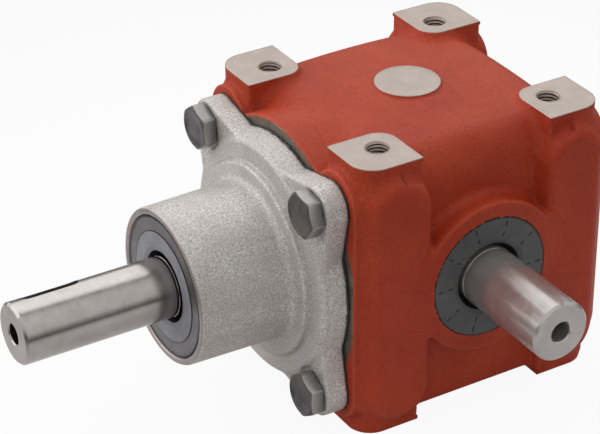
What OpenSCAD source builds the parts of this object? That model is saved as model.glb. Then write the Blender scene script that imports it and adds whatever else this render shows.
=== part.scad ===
// Right-angle bevel gearbox: an iron housing with four pads above and four below, an alloy input
// flange with its shaft, an output shaft at right angles to it, and the parts that run inside.
// The origin is the centre of the plane that the four lower pads stand on. The output shaft points
// along +X, the input shaft along -Y, and both axes cross at half the housing's height.

/* [Housing] */
// Height over the upper and lower pads
housing_h = 120; // [112:1:140]
// Width over the outer faces of the corner columns
column_span = 112; // [108:1:124]
// Side of each square pad
pad_size = 26.5; // [22:0.5:29]
// Distance between the pads' tapped holes, both ways
pad_pitch = 80; // [76:1:84]
// Thread of the pads' holes
pad_thread = 10; // [8:1:12]
// Depth of the pads' holes
pad_hole_depth = 15; // [10:1:16]
// Rounding of each pad's outer corner
pad_outer_round = 10; // [4:0.5:11]
// Rounding of each pad's inner corner
pad_inner_round = 8; // [3:0.5:10]
// Distance of the side walls behind the columns' faces
wall_recess = 4; // [2:0.5:6]
// Thickness of the cast walls
wall = 8; // [6:0.5:9]
// Rounding of the chamber's corners inside the columns
core_round = 7; // [6:0.5:12]
// Thickness of the metal behind the pads' holes
hole_floor = 5; // [3:0.5:8]
// Radius of the domed top
dome_radius = 450; // [350:10:700]
// Rounding between the top and the side walls
shoulder_round = 13; // [8:0.5:16]
// Drop of the dome's crown below the pads
crown_drop = 0.7; // [0.2:0.1:1.5]
// Gap between the belly and the ground
belly_gap = 3; // [1.5:0.5:6]
// Diameter of the machined disc on the crown
disc_d = 27; // [18:1:36]
// Height of the long swellings on the columns
swell_h = 5; // [3:0.5:7]
// Half-width of a swelling's face
swell_r = 12; // [9:0.5:13]
// Flare of a swelling's sides
swell_flare = 3.5; // [1:0.5:4]
// Thickness of the output bosses round their bearings
boss_wall = 7; // [5:0.5:9]
// Flare of these bosses at the wall
boss_flare = 3; // [0.5:0.5:4]
// Thickness of the lips behind the output shaft's bearings
bearing_lip = 1; // [0.6:0.1:1.2]
// Distance of the machined front face before the columns' faces
front_step = 3.3; // [2:0.1:6]
// Radius of the round part of the front face
front_r = 56.2; // [53:0.1:58]
// Rounding of the front face round each bolt
front_lobe_r = 14; // [12:0.5:15]

/* [Input flange] */
// Radius of the round part of the flange, at its back
flange_r = 51.5; // [49:0.5:52.5]
// Narrowing of the round part from its back to its front
flange_draft = 2; // [0:0.1:4]
// Thickness of the flange at its centre
flange_t = 10.2; // [8:0.1:13]
// Step from the flange's face down to the bolts' seats
ear_step = 1; // [0.5:0.1:2]
// Distance between the flange bolts, both ways
bolt_pitch = 82; // [80:0.5:84]
// Radius of the ears round the bolts
ear_r = 10.5; // [9.5:0.1:12]
// Slope of the ears' flanks
ear_slope = 12; // [8:1:16]
// Radius of the raised ring at the hub's root
ring_r = 40.4; // [37:0.1:44]
// Height of the raised ring
ring_h = 2.8; // [1.5:0.1:5]
// Thickness of the nose round its seal
nose_wall = 3.2; // [2.5:0.1:6]
// Growth of the hub's radius from nose to root
hub_draft = 0.7; // [0:0.1:1.5]
// Distance from the shafts' crossing to the nose
nose_reach = 113; // [110:0.5:125]
// Diameter of the spigot in the housing
spigot_d = 84; // [80:0.5:88]
// Length of the spigot
spigot_l = 8; // [4:0.5:12]
// Thickness of the gasket
gasket_t = 0.5; // [0.3:0.1:1]
// Thread of the flange bolts
bolt_d = 10; // [8:1:10]
// Length of the flange bolts under the head
bolt_l = 20; // [16:1:21]
// Width of the bolt heads across their flats
bolt_head_af = 17; // [15:0.5:18]
// Height of the bolt heads
bolt_head_h = 6.4; // [5:0.1:8]

/* [Shafts] */
// Diameter of both shafts and bore of the bearings
shaft_d = 25; // [23:0.5:26]
// Distance from the shafts' crossing to the input shaft's end
input_reach = 177; // [160:1:200]
// Distance from the shafts' crossing to the output shaft's end
output_reach = 107.4; // [95:0.1:140]
// Diameter of the shoulders between the bearings
shoulder_d = 31; // [29:0.5:32]
// Chamfer of the shaft ends
shaft_chamfer = 1; // [0.4:0.1:2]
// Thread of the holes in the shaft ends
end_thread = 10; // [6:1:12]
// Depth of these holes
end_hole_depth = 22; // [12:1:30]
// Width of the keyways
key_w = 8; // [6:1:9]
// Depth of the keyways in the shafts
key_depth = 4; // [3:0.1:4.5]
// Length of the keyways in the shaft ends
keyway_l = 25; // [16:1:34]
// Distance from a shaft's end to its keyway
keyway_inset = 5.5; // [2:0.5:8]
// Direction of the input keyway, from +X towards +Z
input_keyway_turn = 116; // [0:1:359]
// Direction of the output keyway, from +Y towards +Z
output_keyway_turn = 270; // [0:1:359]
// Width of the ground relief where a shaft leaves its seal
relief_w = 1; // [0.5:0.1:1.5]
// Depth of this relief
relief_depth = 0.3; // [0.2:0.1:0.6]

/* [Bearings and seals] */
// Outer diameter of the bearings
bearing_od = 52; // [50:0.5:53]
// Width of the bearings
bearing_w = 15; // [13:0.5:16]
// Diameter of the bearing balls
ball_d = 7.94; // [7:0.1:8.2]
// Number of balls in a bearing
ball_count = 9; // [7:1:9]
// Clearance between balls and raceways
ball_gap = 0.2; // [0.15:0.01:0.3]
// Thickness of the retaining rings beside the bearings
circlip_t = 2; // [1.5:0.1:2.2]
// Width of the output seal and of the closing cap
seal_w = 7; // [6:0.5:8]
// Outer diameter of the input seal
nose_seal_od = 58; // [56:0.5:59]
// Width of the input seal
nose_seal_w = 10; // [7:0.5:11]
// Clearance of the seal lips and other turning fits, on the radius
running_gap = 0.05; // [0.02:0.01:0.09]

/* [Gears] */
// Module at the teeth's outer end
gear_module = 4; // [3.5:0.1:4.2]
// Number of teeth on each gear
teeth = 15; // [14:1:16]
// Share of the cone distance that the teeth take
face_share = 0.29; // [0.22:0.01:0.32]
// Pressure angle of the teeth
pressure_angle = 20; // [18:0.5:25]
// Play between the flanks, along the pitch circle
backlash = 0.3; // [0.15:0.05:0.6]
// Length of the gear keys
gear_key_l = 10; // [6:0.5:11]
// Thickness of the shims behind the gears
shim_t = 1; // [0.5:0.1:1.5]

/* [Oil plugs] */
// Thread of the oil plugs
plug_thread = 16.6; // [13:0.1:17]
// Diameter of the plugs' collars
plug_collar_d = 22; // [20:0.5:24]
// Width of the plugs' heads across their flats
plug_af = 17; // [13:0.5:19]
// Height of the filling plug above the shafts
fill_rise = 30; // [22:1:34]
// Depth of the draining plug below the shafts
drain_drop = 33; // [22:1:35]
// Height of the plugs' bosses on the rear wall
plug_boss_h = 3; // [1:0.5:5]
// Length of the plugs' threads
plug_l = 10; // [8:0.5:11]
// Height of the plugs' heads above their collars
plug_head_h = 5; // [4:0.5:7]

/* [Hidden] */
$fn = 96;

// Overlap that lets a cut or a joined solid pass a face cleanly
eps = 0.5;
// Clearance of pieces that are fixed to each other, on the radius
seat_gap = 0.02;
// Share of a metric thread's diameter that its core hole takes
core_share = 0.85;

axis_h = housing_h / 2;
column_face = column_span / 2;
wall_face = column_face - wall_recess;
side_face = column_face + swell_h;
front_face = column_face + front_step;
cavity_half = wall_face - wall;
crown_z = axis_h - crown_drop;
belly_z = belly_gap - axis_h;
cavity_top = crown_z - wall - 4;
cavity_bottom = belly_z + wall;
// The chamber's upright corners are rounded well inside the pads' holes, and between the upper
// and the lower holes cores hollow out the columns
cavity_round = cavity_half - 14;
core_half = cavity_half - 1;
core_reach = axis_h - pad_hole_depth - hole_floor;
spigot_r = spigot_d / 2;
bearing_r = bearing_od / 2;
boss_r = bearing_r + boss_wall;
hub_r = nose_seal_od / 2 + nose_wall;
shaft_r = shaft_d / 2;

// Places along each shaft, measured outwards from the crossing of the axes
seat_outer_end = side_face - seal_w - circlip_t;
seat_inner_end = seat_outer_end - bearing_w;
gear_back = seat_inner_end - shim_t;
nose_seat_end = nose_reach - nose_seal_w - circlip_t - 1.5;
mount_face = front_face + gasket_t;
flange_face = mount_face + flange_t;
ear_face = flange_face - ear_step;
throat_start = seat_inner_end - eps;
sleeve_r = bearing_r + 6;
lip_rib_r = bearing_r - 3;
groove_r = bearing_r + 1.5;

// Bevel gear values: both gears are the same, so the pitch cones stand at 45 degrees
pitch_r = gear_module * teeth / 2;
cone_angle = 45;
cone_distance = pitch_r / sin(cone_angle);
small_end = 1 - face_share;
virtual_r = cone_distance * tan(cone_angle);
base_r = virtual_r * cos(pressure_angle);
tooth_root = virtual_r - 1.25 * gear_module;
tooth_tip = virtual_r + gear_module;
rim_depth = 3;
gear_front = (pitch_r - rim_depth - 1.25 * gear_module * sin(cone_angle)) * small_end + 7.2;
flank_steps = 4;

// Frames of the three bores: the local Z axis points outwards along each shaft
module on_input() translate([0, 0, axis_h]) rotate([90, 0, 0]) children();
module on_output() translate([0, 0, axis_h]) rotate([0, 90, 0]) children();
module on_blind() translate([0, 0, axis_h]) rotate([0, -90, 0]) children();
module on_rear(rise) translate([0, 0, axis_h + rise]) rotate([-90, 0, 0]) children();

// Ring of rectangular section between two radii and two heights
module ring(r1, r2, z1, z2) rotate_extrude() translate([r1, z1]) square([r2 - r1, z2 - z1]);

module disc(r, z1, z2) translate([0, 0, z1]) cylinder(r = r, h = z2 - z1);

module four_corners(pitch) {
    for (x = [-1, 1], y = [-1, 1]) translate([x * pitch / 2, y * pitch / 2]) children();
}

module box_between(low, high) translate(low) cube(high - low);

// Square whose sides meet in true quarter circles
module rounded_square(half, r) {
    square([2 * half, 2 * (half - r)], center = true);
    square([2 * (half - r), 2 * half], center = true);
    four_corners(2 * (half - r)) circle(r);
}

// Housing

// One pad's outline in the quarter where x and y are positive
module pad_outline() {
    low = column_face - pad_size;
    difference() {
        translate([low, low]) square(pad_size);
        translate([low - eps, low - eps]) square(pad_inner_round + eps);
        translate([column_face - pad_outer_round, column_face - pad_outer_round])
            square(pad_outer_round + eps);
    }
    translate([low + pad_inner_round, low + pad_inner_round]) circle(pad_inner_round);
    translate([column_face - pad_outer_round, column_face - pad_outer_round])
        circle(pad_outer_round);
}

// Rounding along one upper edge: what lies outside a cylinder that the wall touches
module shoulder_cutter() {
    centre = wall_face - shoulder_round;
    dome_z = crown_z - dome_radius + sqrt(pow(dome_radius, 2) - pow(centre, 2));
    difference() {
        box_between([centre, -column_face, dome_z - shoulder_round],
                    [wall_face + 1, column_face, axis_h + 1]);
        translate([centre, 0, dome_z - shoulder_round]) rotate([90, 0, 0])
            cylinder(r = shoulder_round, h = 2 * column_face + 2, center = true);
    }
}

// Upright walls, a domed crown and rounded edges between them
module body_block() {
    difference() {
        intersection() {
            box_between([-wall_face, -wall_face, belly_z], [wall_face, wall_face, axis_h]);
            translate([0, 0, crown_z - dome_radius]) sphere(dome_radius, $fn = 256);
        }
        for (turn = [0, 90, 180, 270]) rotate([0, 0, turn]) shoulder_cutter();
    }
}

// Long swelling on a column's outer face, standing along +Z at the local origin
module swelling() {
    reach = axis_h - 8 - swell_r;
    base_r = swell_r + swell_flare;
    root = wall_recess + 2;
    intersection() {
        union() {
            for (end = [-1, 1]) translate([end * reach, 0, 0])
                cylinder(r1 = base_r, r2 = swell_r, h = swell_h);
            rotate([0, -90, 0]) linear_extrude(2 * reach, center = true)
                polygon([[0, -base_r], [swell_h, -swell_r], [swell_h, swell_r], [0, base_r]]);
            for (end = [-1, 1]) translate([end * reach, 0, -root]) cylinder(r = swell_r, h = root + eps);
            translate([-reach, -swell_r, -root]) cube([2 * reach, 2 * swell_r, root + eps]);
        }
        translate([-axis_h, -swell_r, -root]) cube([2 * axis_h, 2 * swell_r + base_r, root + swell_h]);
    }
}

module column_swellings() {
    for (y = [-1, 1], x = [-1, 1]) mirror([x < 0 ? 1 : 0, 0, 0]) mirror([0, y < 0 ? 1 : 0, 0])
        translate([column_face, pad_pitch / 2, 0]) rotate([0, 90, 0]) swelling();
    for (x = [-1, 1]) mirror([x < 0 ? 1 : 0, 0, 0]) mirror([1, -1, 0])
        translate([column_face, pad_pitch / 2, 0]) rotate([0, 90, 0]) swelling();
}

// Outline of the machined front face, seen along the input shaft
module front_outline() {
    lobe = bolt_pitch / 2;
    intersection() {
        circle(front_r);
        square([2 * (lobe + front_lobe_r), 2 * front_r], center = true);
    }
    for (x = [-1, 1]) {
        translate([x * lobe - front_lobe_r, -lobe]) square([2 * front_lobe_r, bolt_pitch]);
        for (z = [-1, 1]) translate([x * lobe, z * lobe]) circle(front_lobe_r);
    }
}

module housing_blank() {
    body_block();
    for (x = [-1, 1], y = [-1, 1]) mirror([x < 0 ? 1 : 0, 0, 0]) mirror([0, y < 0 ? 1 : 0, 0])
        linear_extrude(housing_h, center = true) pad_outline();
    column_swellings();
    disc(disc_d / 2, crown_z - wall, axis_h);
    disc(disc_d / 2, -axis_h, cavity_bottom - eps);
    rotate([90, 0, 0]) translate([0, 0, cavity_half])
        linear_extrude(front_face - cavity_half) front_outline();
    for (turn = [-90, 90]) rotate([0, turn, 0]) {
        disc(boss_r, cavity_half, side_face);
        translate([0, 0, wall_face])
            cylinder(r1 = boss_r + boss_flare, r2 = boss_r, h = side_face - wall_face - 1);
    }
    for (rise = [fill_rise, -drain_drop]) translate([0, 0, rise]) rotate([-90, 0, 0])
        translate([0, 0, cavity_half])
        cylinder(r1 = plug_collar_d / 2 + 4, r2 = plug_collar_d / 2 + 2,
                 h = wall_face - cavity_half + plug_boss_h);
}

module housing_chamber() {
    difference() {
        union() {
            translate([0, 0, cavity_bottom]) linear_extrude(cavity_top - cavity_bottom)
                rounded_square(cavity_half, cavity_round);
            linear_extrude(2 * core_reach, center = true) rounded_square(core_half, core_round);
        }
        for (turn = [-90, 90]) rotate([0, turn, 0])
            disc(boss_r, seat_inner_end - bearing_lip, cavity_half + eps);
    }
    rotate([90, 0, 0]) disc(spigot_r + seat_gap, cavity_half - 12, front_face + eps);
}

// Bearing bore with its inner lip, the groove of its retaining ring and a chamfered mouth
module bearing_bore() {
    mouth = 0.6;
    disc(lip_rib_r, seat_inner_end - bearing_lip - eps, seat_inner_end + eps);
    disc(bearing_r + seat_gap, seat_inner_end, side_face + eps);
    disc(groove_r, seat_outer_end, seat_outer_end + circlip_t + 0.15);
    translate([0, 0, side_face - mouth])
        cylinder(r1 = bearing_r, r2 = bearing_r + mouth + 0.1, h = mouth + 0.1);
}

module pad_holes() {
    four_corners(pad_pitch) {
        disc(pad_thread * core_share / 2, axis_h - pad_hole_depth, axis_h + eps);
        disc(pad_thread * core_share / 2, -axis_h - eps, pad_hole_depth - axis_h);
        translate([0, 0, axis_h - 0.4]) cylinder(d1 = pad_thread * core_share,
            d2 = pad_thread * core_share + 1, h = 0.5);
        translate([0, 0, -axis_h - 0.1]) cylinder(d1 = pad_thread * core_share + 1,
            d2 = pad_thread * core_share, h = 0.5);
    }
}

module housing() {
    color([0.62, 0.2, 0.13]) translate([0, 0, axis_h]) difference() {
        housing_blank();
        housing_chamber();
        rotate([0, 90, 0]) bearing_bore();
        rotate([0, -90, 0]) bearing_bore();
        pad_holes();
        rotate([90, 0, 0]) four_corners(bolt_pitch)
            disc(bolt_d / 2 + 0.05, ear_face - bolt_l - 1, front_face + eps);
        for (rise = [fill_rise, -drain_drop]) translate([0, 0, rise]) rotate([-90, 0, 0])
            disc(plug_thread / 2 + 0.05, cavity_half - eps, wall_face + plug_boss_h + eps);
    }
}

// Input flange

// One ear: a round end about its bolt, joined to the flange by two sloping flanks
module ear(t) {
    bolt = bolt_pitch / 2;
    flank_r = ear_r - 0.05;
    tip_x = bolt - flank_r * sin(ear_slope);
    tip_z = bolt + flank_r * cos(ear_slope);
    root_x = flange_r * 0.2;
    inner = flange_r * 0.4;
    root_z = tip_z - (tip_x - root_x) * tan(ear_slope);
    linear_extrude(t) polygon([
        [inner, inner], [root_x, root_z], [tip_x, tip_z], [bolt, bolt], [tip_z, tip_x], [root_z, root_x]]);
    translate([bolt, bolt]) cylinder(r = ear_r, h = t);
}

module ears(t) for (turn = [0, 90, 180, 270]) rotate(turn) ear(t);

// Turned and cast section of the flange, with radius along X and distance along the shaft along Y
module flange_section() {
    edge = 3;
    fillet = 3;
    nose_edge = 1.2;
    ring_top = flange_face + ring_h;
    front_edge_r = flange_r - flange_draft;
    root_r = hub_r + hub_draft;
    difference() {
        union() {
            translate([0, seat_inner_end]) square([sleeve_r, mount_face - seat_inner_end]);
            translate([0, mount_face - gasket_t - spigot_l])
                square([spigot_r, spigot_l + gasket_t + eps]);
            polygon([[0, mount_face], [flange_r, mount_face], [front_edge_r, flange_face - edge],
                     [0, flange_face - edge]]);
            translate([0, mount_face]) square([front_edge_r - edge, flange_t]);
            translate([front_edge_r - edge, flange_face - edge]) circle(edge);
            translate([0, flange_face - eps]) square([ring_r, ring_h + eps]);
            translate([0, ring_top - eps]) square([root_r + fillet, fillet + eps]);
            polygon([[0, ring_top], [root_r, ring_top], [hub_r, nose_reach - nose_edge],
                     [hub_r - nose_edge, nose_reach], [0, nose_reach]]);
        }
        translate([root_r + fillet, ring_top + fillet]) circle(fillet);
        translate([root_r + fillet, ring_top]) square([fillet, 2 * fillet]);
    }
}

// Seats for the bolts' heads are turned into the ears and a little into the round plate
spot_r = bolt_head_af / 2 / cos(30) + 0.4;

module input_flange() {
    pocket_r = spigot_r - 5;
    color([0.72, 0.71, 0.69]) on_input() difference() {
        union() {
            translate([0, 0, mount_face]) ears(flange_t - ear_step);
            rotate_extrude() flange_section();
        }
        ring(sleeve_r + 2, pocket_r, seat_inner_end - eps, mount_face - 3);
        disc(bearing_r + seat_gap, seat_inner_end - eps, seat_outer_end);
        disc(lip_rib_r, seat_inner_end, nose_reach);
        disc(bearing_r + seat_gap, nose_seat_end - bearing_w, nose_reach + eps);
        disc(groove_r, nose_seat_end, nose_seat_end + circlip_t + 0.15);
        disc(nose_seal_od / 2 + seat_gap, nose_reach - nose_seal_w, nose_reach + eps);
        translate([0, 0, nose_reach - 0.8])
            cylinder(d1 = nose_seal_od, d2 = nose_seal_od + 1.8, h = 0.9);
        four_corners(bolt_pitch) {
            disc(bolt_d / 2 + 0.5, mount_face - eps, flange_face + eps);
            disc(spot_r, ear_face, flange_face + eps);
        }
    }
}

module flange_gasket() {
    color([0.1, 0.1, 0.12]) on_input() translate([0, 0, front_face]) difference() {
        union() {
            disc(flange_r, 0, gasket_t);
            ears(gasket_t);
        }
        disc(spigot_r + 0.2, -eps, gasket_t + eps);
        four_corners(bolt_pitch) disc(bolt_d / 2 + 0.5, -eps, gasket_t + eps);
    }
}

// Hexagonal head with turned corners, standing on the plane z = 0
module hex_head(af, h) {
    corner_r = af / 2 / cos(30);
    intersection() {
        cylinder(r = corner_r, h = h, $fn = 6);
        union() {
            cylinder(r = corner_r + eps, h = h - 0.13 * af);
            translate([0, 0, h - 0.13 * af])
                cylinder(r1 = corner_r + 0.25, r2 = af * 0.475, h = 0.13 * af);
        }
    }
}

module flange_bolts() {
    color([0.16, 0.16, 0.17]) on_input() four_corners(bolt_pitch) translate([0, 0, ear_face]) {
        hex_head(bolt_head_af, bolt_head_h);
        translate([0, 0, -bolt_l + 1]) cylinder(d = bolt_d, h = bolt_l - 1 + eps);
        translate([0, 0, -bolt_l]) cylinder(d1 = bolt_d - 2, d2 = bolt_d, h = 1);
    }
}

// Shafts

// Turned shaft along Z with chamfered ends and one shoulder
module turned_shaft(z1, z2, shoulder_z1, shoulder_z2) {
    c = shaft_chamfer;
    big = shoulder_d / 2;
    rotate_extrude() polygon([
        [0, z1], [shaft_r - c, z1], [shaft_r, z1 + c], [shaft_r, shoulder_z1], [big, shoulder_z1],
        [big, shoulder_z2], [shaft_r, shoulder_z2], [shaft_r, z2 - c], [shaft_r - c, z2], [0, z2]]);
}

// Keyway with round ends, cut into the side of a shaft that faces +X
module keyway(z1, z2, depth) {
    for (z = [z1 + key_w / 2, z2 - key_w / 2]) translate([shaft_r - depth, 0, z])
        rotate([0, 90, 0]) cylinder(d = key_w, h = depth + eps);
    box_between([shaft_r - depth, -key_w / 2, z1 + key_w / 2],
                [shaft_r + eps, key_w / 2, z2 - key_w / 2]);
}

module end_hole(reach) {
    core = end_thread * core_share;
    disc(core / 2, reach - end_hole_depth, reach + eps);
    translate([0, 0, reach - 0.5]) cylinder(d1 = core, d2 = core + 1.2, h = 0.6);
}

// Shallow groove between the seal's running surface and the free end
module shaft_relief(face) ring(shaft_r - relief_depth, shaft_r + eps, face - relief_w, face);

// Places of the gear key, in from the back of the gear
key_end = gear_back - 1;
key_start = key_end - gear_key_l;
input_end = gear_front - 3;

module input_shaft() {
    color([0.75, 0.73, 0.71]) on_input() difference() {
        turned_shaft(input_end, input_reach, seat_outer_end, nose_seat_end - bearing_w);
        ring(shaft_r - 0.55, shaft_r + eps, gear_front - 1.3, gear_front - 0.05);
        keyway(key_start, key_end, key_depth);
        shaft_relief(nose_reach);
        rotate([0, 0, input_keyway_turn])
            keyway(input_reach - keyway_inset - keyway_l, input_reach - keyway_inset, key_depth);
        end_hole(input_reach);
    }
}

module output_shaft() {
    blind_end = -seat_outer_end - 1;
    color([0.75, 0.73, 0.71]) on_output() difference() {
        turned_shaft(blind_end, output_reach, -seat_inner_end, gear_front);
        keyway(key_start, key_end, key_depth);
        shaft_relief(side_face);
        rotate([0, 0, output_keyway_turn + 90])
            keyway(output_reach - keyway_inset - keyway_l, output_reach - keyway_inset, key_depth);
        end_hole(output_reach);
    }
}

// Key that fills a gear keyway, on the side that faces +X
module gear_key() {
    inner = shaft_r - key_depth;
    width = key_w - 2 * seat_gap;
    for (z = [key_start + key_w / 2, key_end - key_w / 2]) translate([inner + seat_gap, 0, z])
        rotate([0, 90, 0]) cylinder(d = width, h = key_depth + 3 - seat_gap);
    box_between([inner + seat_gap, -width / 2, key_start + key_w / 2],
                [shaft_r + 3, width / 2, key_end - key_w / 2]);
}

module input_gear_key() color([0.45, 0.45, 0.46]) on_input() gear_key();
module output_gear_key() color([0.45, 0.45, 0.46]) on_output() gear_key();

// Gears

// Involute of an angle, in degrees
function involute(a) = tan(a) * 180 / PI - a;

// Half of a tooth's angle on the developed back cone, at the distance rho from the cone's tip
function half_tooth(rho) =
    (PI * gear_module / 2 - backlash / 2) / 2 / virtual_r * 180 / PI
    + involute(pressure_angle) - involute(rho > base_r ? acos(base_r / rho) : 0);

// Point on the ray from the apex that meets the back cone at rho and psi, scaled by k
function cone_point(rho, psi, k) =
    let (lift = rho - virtual_r, polar = cone_angle + atan(lift / cone_distance),
         reach = k * cone_distance / cos(polar - cone_angle), turn = psi / cos(cone_angle))
    [reach * sin(polar) * cos(turn), reach * sin(polar) * sin(turn), reach * cos(polar)];

// Distances from the root to the tip at which a flank is computed
flank_rho = [for (i = [0:flank_steps]) tooth_root + (tooth_tip - tooth_root) * i / flank_steps];

// One tooth as pairs of rho and psi, from root to tip and back to the root
function tooth_profile(i) =
    let (centre = 360 * cos(cone_angle) * i / teeth)
    concat([for (rho = flank_rho) [rho, centre - half_tooth(rho)]],
           [for (j = [flank_steps:-1:0]) [flank_rho[j], centre + half_tooth(flank_rho[j])]]);

profile = [for (i = [0:teeth - 1]) each tooth_profile(i)];

// Two points a tooth on the rim's smooth inside
inside = [for (i = [0:teeth - 1], share = [0.25, 0.75])
    [tooth_root - rim_depth, 360 * cos(cone_angle) * (i - 0.5 + share) / teeth]];

// Four loops round the toothed rim: outside and inside at the large end, then at the small end
rim_points = [for (loop = [[profile, 1], [inside, 1], [profile, small_end], [inside, small_end]])
    for (p = loop[0]) cone_point(p[0], p[1], loop[1])];

// Faces between the loops: n points outside and m inside, s of the n on each half of a tooth
n = len(profile);
m = len(inside);
s = n / m;
function at_out(end, i) = end * (n + m) + i % n;
function at_in(end, i) = end * (n + m) + n + i % m;
rim_faces = [
    for (i = [0:n - 1]) each [
        [at_out(1, i), at_out(0, i), at_out(0, i + 1), at_out(1, i + 1)],
        [at_out(0, i + 1), at_out(0, i), at_in(0, floor(i / s))],
        [at_out(1, i), at_out(1, i + 1), at_in(1, floor(i / s))]],
    for (j = [0:m - 1]) each [
        [at_in(0, j), at_in(1, j), at_in(1, j + 1), at_in(0, j + 1)],
        [at_in(0, j), at_in(0, j + 1), at_out(0, (j + 1) * s)],
        [at_in(1, j + 1), at_in(1, j), at_out(1, (j + 1) * s)]]
];

module toothed_rim() polyhedron(points = rim_points, faces = rim_faces);

// Straight bevel gear on the Z axis with its apex at the origin and a tooth on the +X side
module bevel_gear() {
    back = cone_point(tooth_root - rim_depth / 2, 0, 0.95);
    front = cone_point(tooth_root - rim_depth / 2, 0, small_end + 0.05);
    hub = shaft_r + 6.5;
    difference() {
        union() {
            toothed_rim();
            rotate_extrude() polygon([
                [0, gear_front], [hub - 2.5, gear_front], [front[0], front[2]],
                [back[0], back[2]], [hub, back[2]], [hub, gear_back], [0, gear_back]]);
        }
        disc(shaft_r + seat_gap, gear_front - eps, gear_back + eps);
    }
}

// Keyway through the gear's bore, on the side that faces +X
module gear_keyway() {
    box_between([0, -key_w / 2, gear_front - eps], [shaft_r + 3.3, key_w / 2, gear_back + eps]);
}

// A gap of the input gear faces the tooth of the output gear that points at it
module input_gear() {
    color([0.5, 0.49, 0.47]) on_input() difference() {
        rotate([0, 0, 180 / teeth]) bevel_gear();
        gear_keyway();
    }
}

module output_gear() {
    color([0.5, 0.49, 0.47]) on_output() difference() {
        rotate([0, 0, -90]) bevel_gear();
        gear_keyway();
    }
}

module gear_shim() ring(shaft_r + seat_gap, shaft_r + 4, gear_back, seat_inner_end);
module input_gear_shim() color([0.8, 0.8, 0.78]) on_input() gear_shim();
module output_gear_shim() color([0.8, 0.8, 0.78]) on_output() gear_shim();

// Retaining ring on a shaft, open towards +X, with an eye at each end
module input_gear_circlip() {
    inner = shaft_r - 0.5;
    outer = shaft_r + 2.2;
    color([0.25, 0.25, 0.26]) on_input() translate([0, 0, gear_front - 1.25])
    linear_extrude(1.2) difference() {
        union() {
            circle(outer);
            for (side = [-1, 1]) rotate(side * 17) translate([outer, 0]) circle(2.2);
        }
        circle(inner);
        polygon([[0, 0], [2 * outer, -outer / 3], [2 * outer, outer / 3]]);
        for (side = [-1, 1]) rotate(side * 17) translate([outer + 0.3, 0]) circle(0.9);
    }
}

// Bearings: each lies along Z and is centred at the local origin
ball_circle = (shaft_r + bearing_r) / 2;
land = ball_d * 0.28;

module raceway() rotate_extrude() translate([ball_circle, 0]) circle(ball_d / 2 + ball_gap);

module outer_ring() difference() {
    ring(ball_circle + land, bearing_r, -bearing_w / 2, bearing_w / 2);
    raceway();
}

module inner_ring() difference() {
    ring(shaft_r + seat_gap, ball_circle - land, -bearing_w / 2, bearing_w / 2);
    raceway();
}

module each_ball() {
    for (i = [0:ball_count - 1]) rotate([0, 0, 360 * i / ball_count])
        translate([ball_circle, 0, 0]) children();
}

module ball_set() each_ball() sphere(d = ball_d);

// Snap cage: a ring with a straight-sided pocket for each ball
module ball_cage() difference() {
    ring(ball_circle - land + 0.7, ball_circle + land - 0.7, -ball_d * 0.62, ball_d * 0.62);
    each_ball() rotate([0, 90, 0])
        cylinder(d = (ball_d + 0.3) / cos(15), h = ball_d, center = true, $fn = 12);
}

nose_centre = nose_seat_end - bearing_w / 2;
seat_centre = seat_outer_end - bearing_w / 2;
ring_steel = [0.66, 0.66, 0.67];
ball_steel = [0.82, 0.82, 0.83];
cage_steel = [0.6, 0.58, 0.52];

module at_nose() on_input() translate([0, 0, nose_centre]) children();
module at_throat() on_input() translate([0, 0, seat_centre]) children();
module at_output() on_output() translate([0, 0, seat_centre]) children();
module at_blind() on_blind() translate([0, 0, seat_centre]) children();

module nose_bearing_outer_ring() color(ring_steel) at_nose() outer_ring();
module nose_bearing_inner_ring() color(ring_steel) at_nose() inner_ring();
module nose_bearing_balls() color(ball_steel) at_nose() ball_set();
module nose_bearing_cage() color(cage_steel) at_nose() ball_cage();
module throat_bearing_outer_ring() color(ring_steel) at_throat() outer_ring();
module throat_bearing_inner_ring() color(ring_steel) at_throat() inner_ring();
module throat_bearing_balls() color(ball_steel) at_throat() ball_set();
module throat_bearing_cage() color(cage_steel) at_throat() ball_cage();
module output_bearing_outer_ring() color(ring_steel) at_output() outer_ring();
module output_bearing_inner_ring() color(ring_steel) at_output() inner_ring();
module output_bearing_balls() color(ball_steel) at_output() ball_set();
module output_bearing_cage() color(cage_steel) at_output() ball_cage();
module blind_bearing_outer_ring() color(ring_steel) at_blind() outer_ring();
module blind_bearing_inner_ring() color(ring_steel) at_blind() inner_ring();
module blind_bearing_balls() color(ball_steel) at_blind() ball_set();
module blind_bearing_cage() color(cage_steel) at_blind() ball_cage();

// Retaining ring in a bore, open towards +X, with an eye at each end
module bore_circlip() {
    outer = groove_r - 0.1;
    inner = bearing_r - 2.6;
    linear_extrude(circlip_t) difference() {
        union() {
            circle(outer);
            for (side = [-1, 1]) rotate(side * 12) translate([inner - 0.4, 0]) circle(2.6);
        }
        difference() {
            circle(inner);
            for (side = [-1, 1]) rotate(side * 12) translate([inner - 0.4, 0]) circle(2.6);
        }
        polygon([[0, 0], [2 * outer, -outer / 5], [2 * outer, outer / 5]]);
        for (side = [-1, 1]) rotate(side * 12) translate([inner - 0.4, 0]) circle(1.2);
    }
}

module nose_circlip() {
    color([0.25, 0.25, 0.26]) on_input() translate([0, 0, nose_seat_end]) bore_circlip();
}

module output_circlip() {
    color([0.25, 0.25, 0.26]) on_output() translate([0, 0, seat_outer_end]) bore_circlip();
}

module blind_circlip() {
    color([0.25, 0.25, 0.26]) on_blind() translate([0, 0, seat_outer_end]) bore_circlip();
}

// Seals: the section has its radius along X, its outer face at y = 0 and its depth below
lip_r = shaft_r + running_gap;
seal_recess = 0.3;
plate_t = 1.2;
case_t = 1;
skin = 1;
plate_back = -seal_recess - plate_t;
neck_r = shaft_r + 4;
case_inner_r = neck_r + 1.5;

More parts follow.
